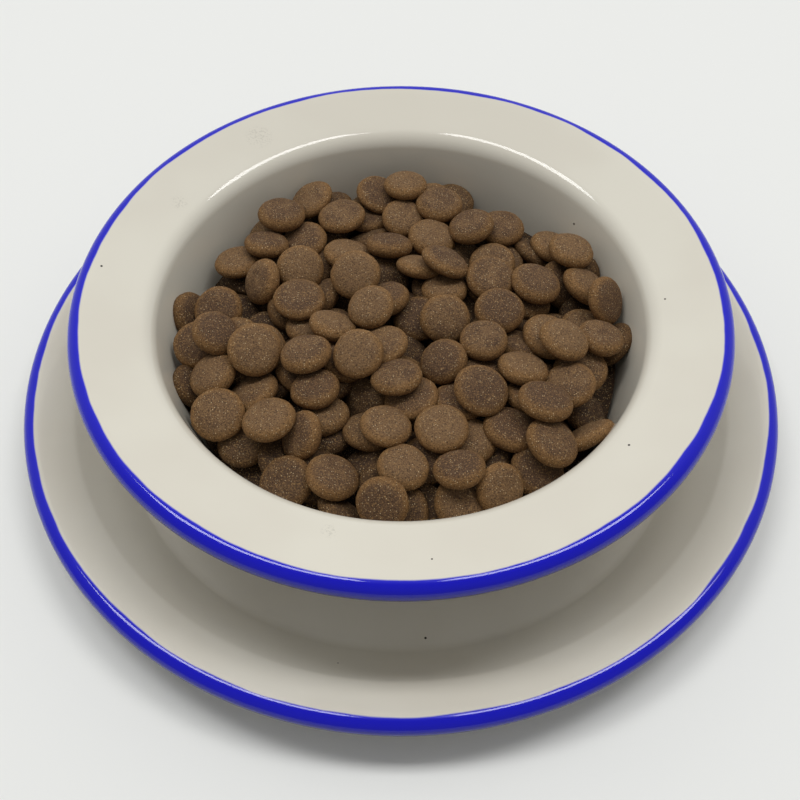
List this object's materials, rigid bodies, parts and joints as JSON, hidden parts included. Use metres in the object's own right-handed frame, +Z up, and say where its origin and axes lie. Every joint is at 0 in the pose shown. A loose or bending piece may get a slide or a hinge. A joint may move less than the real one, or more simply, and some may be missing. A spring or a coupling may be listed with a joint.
{
  "type": "enamel pet bowl of kibble on a plate",
  "caption": "Wide enamel bowl with a blue rolled rim, full of round dry pet food, standing on its matching enamel plate.",
  "frame": {"origin": "middle of the plate's underside, on the ground", "axes": "+Z up, along the middle line that bowl and plate share; the picture looks along +Y"},
  "size_m": [0.22, 0.22, 0.0491],
  "materials": {
    "plate_enamel": "off-white vitreous enamel on pressed steel, with a deep blue rolled rim",
    "bowl_enamel": "off-white vitreous enamel on pressed steel, with a deep blue rolled rim",
    "kibble": "dry baked biscuit, matte brown and finely grained"
  },
  "bodies": {
    "root": {"plate": "plate_enamel", "bowl": "bowl_enamel", "kibble_heap": "kibble", "kibble_01": "kibble", "kibble_02": "kibble", "kibble_03": "kibble", "kibble_04": "kibble", "kibble_05": "kibble", "kibble_06": "kibble", "kibble_07": "kibble", "kibble_08": "kibble", "kibble_09": "kibble", "kibble_10": "kibble", "kibble_11": "kibble", "kibble_12": "kibble", "kibble_13": "kibble", "kibble_14": "kibble", "kibble_15": "kibble", "kibble_16": "kibble", "kibble_17": "kibble", "kibble_18": "kibble", "kibble_19": "kibble", "kibble_20": "kibble", "kibble_21": "kibble", "kibble_22": "kibble", "kibble_23": "kibble", "kibble_24": "kibble", "kibble_25": "kibble", "kibble_26": "kibble", "kibble_27": "kibble", "kibble_28": "kibble", "kibble_29": "kibble", "kibble_30": "kibble", "kibble_31": "kibble", "kibble_32": "kibble", "kibble_33": "kibble", "kibble_34": "kibble", "kibble_35": "kibble", "kibble_36": "kibble", "kibble_37": "kibble", "kibble_38": "kibble", "kibble_39": "kibble", "kibble_40": "kibble", "kibble_41": "kibble", "kibble_42": "kibble", "kibble_43": "kibble", "kibble_44": "kibble", "kibble_45": "kibble", "kibble_46": "kibble", "kibble_47": "kibble", "kibble_48": "kibble", "kibble_49": "kibble", "kibble_50": "kibble", "kibble_51": "kibble", "kibble_52": "kibble", "kibble_53": "kibble", "kibble_54": "kibble", "kibble_55": "kibble", "kibble_56": "kibble", "kibble_57": "kibble"}
  },
  "joints": []
}
